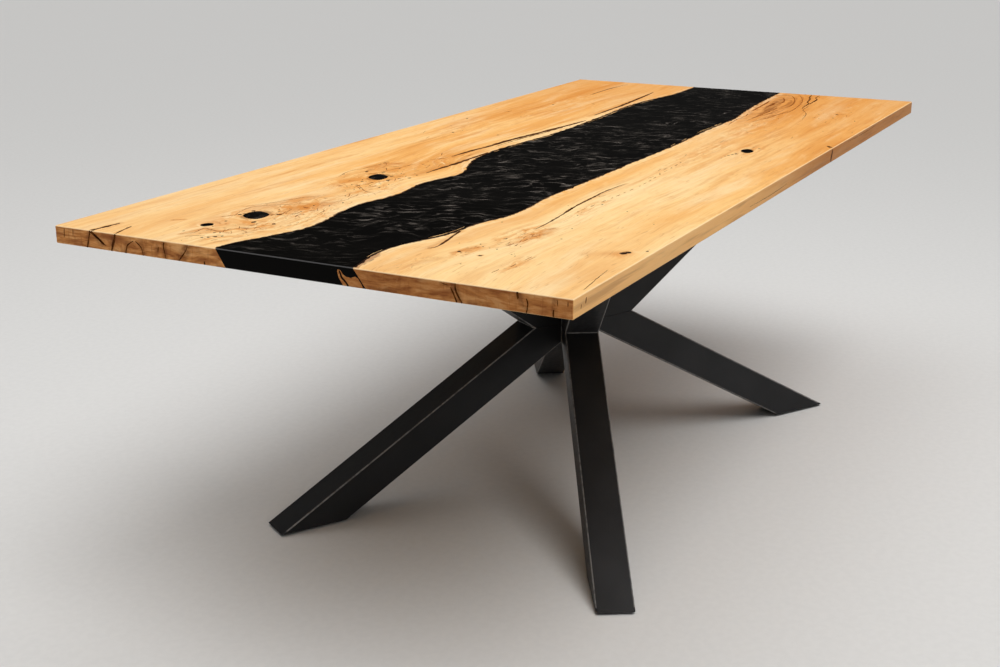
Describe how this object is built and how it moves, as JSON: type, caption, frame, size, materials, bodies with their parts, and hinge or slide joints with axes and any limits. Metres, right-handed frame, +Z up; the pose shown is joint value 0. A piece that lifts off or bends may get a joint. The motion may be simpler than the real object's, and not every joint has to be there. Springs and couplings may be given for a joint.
{
  "type": "dining table",
  "caption": "Rectangular dining table with a live-edge wood and black resin river top on a welded steel base of splayed legs and arms that meet at a waist.",
  "frame": {"origin": "on the floor under the middle of the top", "axes": "+X along the length, +Y across the width to the rear, +Z up"},
  "size_m": [2.2, 1, 0.75],
  "materials": {
    "slab_wood": "satin oil on pale streaky maple",
    "river_resin": "polished black with grey pearl streaks",
    "powder_coat": "satin black powder coat on steel",
    "zinc_hardware": "zinc plated",
    "insert_brass": "plain",
    "glide_plastic": "moulded matt black"
  },
  "bodies": {
    "table": {"front_slab": "slab_wood", "rear_slab": "slab_wood", "edge_curl": "slab_wood", "epoxy_river": "river_resin", "front_knot_fills": "river_resin", "rear_knot_fills": "river_resin", "stiffener_channel_left": "powder_coat", "stiffener_channel_middle": "powder_coat", "stiffener_channel_right": "powder_coat", "lower_leg_left_front": "powder_coat", "upper_arm_left_front": "powder_coat", "mounting_plate_left_front": "powder_coat", "foot_plate_left_front": "powder_coat", "lower_leg_right_front": "powder_coat", "upper_arm_right_front": "powder_coat", "mounting_plate_right_front": "powder_coat", "foot_plate_right_front": "powder_coat", "lower_leg_left_rear": "powder_coat", "upper_arm_left_rear": "powder_coat", "mounting_plate_left_rear": "powder_coat", "foot_plate_left_rear": "powder_coat", "lower_leg_right_rear": "powder_coat", "upper_arm_right_rear": "powder_coat", "mounting_plate_right_rear": "powder_coat", "foot_plate_right_rear": "powder_coat", "channel_bolts": "zinc_hardware", "plate_bolts": "zinc_hardware", "plate_washers": "zinc_hardware", "foot_nuts": "zinc_hardware", "plate_inserts": "insert_brass", "channel_inserts": "insert_brass"},
    "leveller_left_front": {"leveller_stud_left_front": "zinc_hardware", "leveller_pad_left_front": "glide_plastic"},
    "leveller_right_front": {"leveller_stud_right_front": "zinc_hardware", "leveller_pad_right_front": "glide_plastic"},
    "leveller_left_rear": {"leveller_stud_left_rear": "zinc_hardware", "leveller_pad_left_rear": "glide_plastic"},
    "leveller_right_rear": {"leveller_stud_right_rear": "zinc_hardware", "leveller_pad_right_rear": "glide_plastic"}
  },
  "joints": [
    {"name": "level_left_front", "type": "slide", "parent": "table", "child": "leveller_left_front", "axis": [0, 0, -1], "range_m": [0, 0.01]},
    {"name": "level_right_front", "type": "slide", "parent": "table", "child": "leveller_right_front", "axis": [0, 0, -1], "range_m": [0, 0.01]},
    {"name": "level_left_rear", "type": "slide", "parent": "table", "child": "leveller_left_rear", "axis": [0, 0, -1], "range_m": [0, 0.01]},
    {"name": "level_right_rear", "type": "slide", "parent": "table", "child": "leveller_right_rear", "axis": [0, 0, -1], "range_m": [0, 0.01]}
  ]
}
